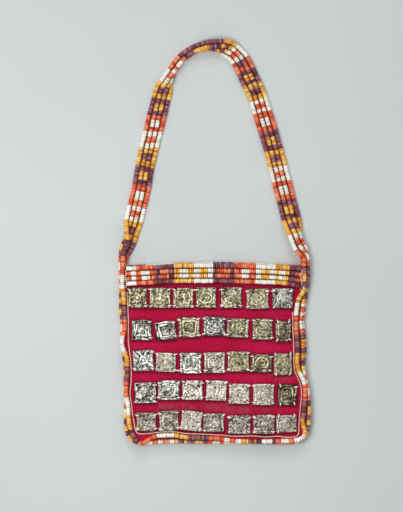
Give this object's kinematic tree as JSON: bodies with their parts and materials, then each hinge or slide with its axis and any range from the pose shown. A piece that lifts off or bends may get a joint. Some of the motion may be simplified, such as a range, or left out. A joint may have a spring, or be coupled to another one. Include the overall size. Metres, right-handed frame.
{
  "type": "beaded shoulder bag",
  "caption": "A flat cloth shoulder bag with strings of shell beads as edging, mouth band and strap, and rows of thin metal plaques sewn on the front",
  "frame": {"origin": "the middle of the pouch's flat back face, which rests on the table", "axes": "+X to the bag's right as seen from its front, +Y from the pouch to the strap, +Z out of the front"},
  "size_m": [0.1932, 0.4065, 0.0167],
  "materials": {
    "wool_cloth": "plain woven crimson wool, slightly worn",
    "shell_beads": "cut shell disc beads in red-orange, white, yellow and purple, satin",
    "tarnished_silver": "embossed thin sheet silver with grey and brassy tarnish",
    "cotton_thread": "undyed twisted cotton sewing thread"
  },
  "bodies": {
    "pouch": {"front_panel": "wool_cloth", "back_panel": "wool_cloth", "front_mouth_string_1": "shell_beads", "front_mouth_string_2": "shell_beads", "front_mouth_string_3": "shell_beads", "front_mouth_string_4": "shell_beads", "back_mouth_band": "shell_beads", "edging_front_outer": "shell_beads", "edging_front_inner": "shell_beads", "edging_back_inner": "shell_beads", "edging_back_outer": "shell_beads", "edging_thread": "cotton_thread", "plaque_r1_c1": "tarnished_silver", "plaque_r1_c2": "tarnished_silver", "plaque_r1_c3": "tarnished_silver", "plaque_r1_c4": "tarnished_silver", "plaque_r1_c5": "tarnished_silver", "plaque_r1_c6": "tarnished_silver", "plaque_r1_c7": "tarnished_silver", "plaque_r2_c1": "tarnished_silver", "plaque_r2_c2": "tarnished_silver", "plaque_r2_c3": "tarnished_silver", "plaque_r2_c4": "tarnished_silver", "plaque_r2_c5": "tarnished_silver", "plaque_r2_c6": "tarnished_silver", "plaque_r2_c7": "tarnished_silver", "plaque_r3_c1": "tarnished_silver", "plaque_r3_c2": "tarnished_silver", "plaque_r3_c3": "tarnished_silver", "plaque_r3_c4": "tarnished_silver", "plaque_r3_c5": "tarnished_silver", "plaque_r3_c6": "tarnished_silver", "plaque_r3_c7": "tarnished_silver", "plaque_r4_c1": "tarnished_silver", "plaque_r4_c2": "tarnished_silver", "plaque_r4_c3": "tarnished_silver", "plaque_r4_c4": "tarnished_silver", "plaque_r4_c5": "tarnished_silver", "plaque_r4_c6": "tarnished_silver", "plaque_r4_c7": "tarnished_silver", "plaque_r5_c1": "tarnished_silver", "plaque_r5_c2": "tarnished_silver", "plaque_r5_c3": "tarnished_silver", "plaque_r5_c4": "tarnished_silver", "plaque_r5_c5": "tarnished_silver", "plaque_r5_c6": "tarnished_silver", "plaque_r5_c7": "tarnished_silver"},
    "strap_root": {"left_root_string_1": "shell_beads", "left_root_string_2": "shell_beads", "left_root_string_3": "shell_beads", "left_root_string_4": "shell_beads", "right_root_string_1": "shell_beads", "right_root_string_2": "shell_beads", "right_root_string_3": "shell_beads", "right_root_string_4": "shell_beads"},
    "strap_loop": {"strap_string_1": "shell_beads", "strap_string_2": "shell_beads", "strap_string_3": "shell_beads", "strap_string_4": "shell_beads"}
  },
  "joints": [
    {"name": "strap_swing", "type": "hinge", "parent": "pouch", "child": "strap_root", "pos_m": [0, 0.09875, 0.006], "axis": [1, 0, 0], "range_deg": [-90, 90], "deforming": ["left_root_string_1", "left_root_string_2", "left_root_string_3", "left_root_string_4", "right_root_string_1", "right_root_string_2", "right_root_string_3", "right_root_string_4"]},
    {"name": "strap_fold", "type": "hinge", "parent": "strap_root", "child": "strap_loop", "pos_m": [0, 0.11675, 0.006], "axis": [1, 0, 0], "range_deg": [-90, 90]}
  ],
  "couplings": [
    {"joint": "strap_fold", "follows": "strap_swing", "ratio": 1}
  ]
}
